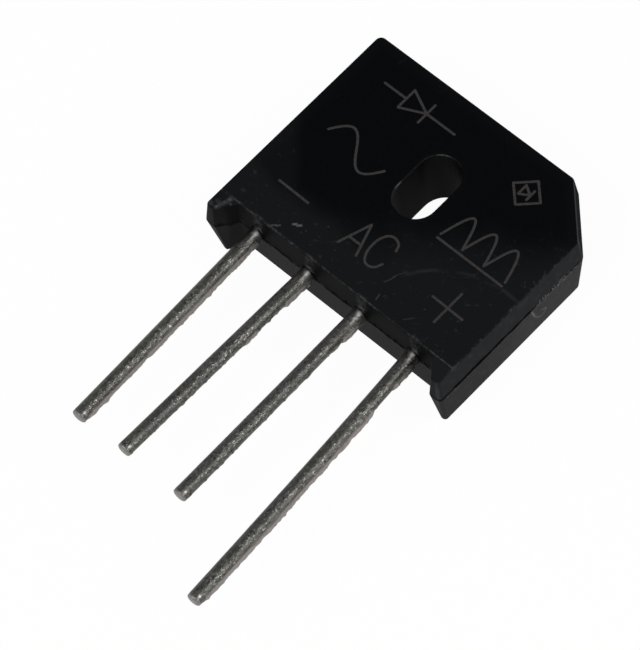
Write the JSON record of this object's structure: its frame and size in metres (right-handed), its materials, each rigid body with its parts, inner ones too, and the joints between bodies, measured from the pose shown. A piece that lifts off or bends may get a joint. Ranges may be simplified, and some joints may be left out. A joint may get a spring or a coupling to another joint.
{
  "type": "bridge rectifier",
  "caption": "Moulded bridge rectifier: flat black body with a through slot, a cut corner at the plus end, two stand-off feet and a row of round leads, one longer.",
  "frame": {"origin": "middle of the mounting slot on the flat back face", "axes": "+Z out of the marked face, -Y along the leads, +X towards the plus lead"},
  "size_m": [0.023, 0.0415, 0.0066],
  "materials": {
    "moulding": "black moulded epoxy, satin, lightly scuffed",
    "tinned_wire": "copper wire dipped in solder, streaky and slightly rough",
    "copper": "stamped copper",
    "silicon": "dark grey silicon",
    "solder": "dull solder"
  },
  "bodies": {
    "root": {"body_moulding": "moulding", "minus_lead": "tinned_wire", "left_supply_lead": "tinned_wire", "right_supply_lead": "tinned_wire", "plus_lead": "tinned_wire", "left_supply_plate": "copper", "right_supply_plate": "copper", "minus_strap": "copper", "plus_strap": "copper", "lower_left_die": "silicon", "lower_left_solder_under": "solder", "lower_left_solder_over": "solder", "upper_left_die": "silicon", "upper_left_solder_under": "solder", "upper_left_solder_over": "solder", "lower_right_die": "silicon", "lower_right_solder_under": "solder", "lower_right_solder_over": "solder", "upper_right_die": "silicon", "upper_right_solder_under": "solder", "upper_right_solder_over": "solder"}
  },
  "joints": []
}
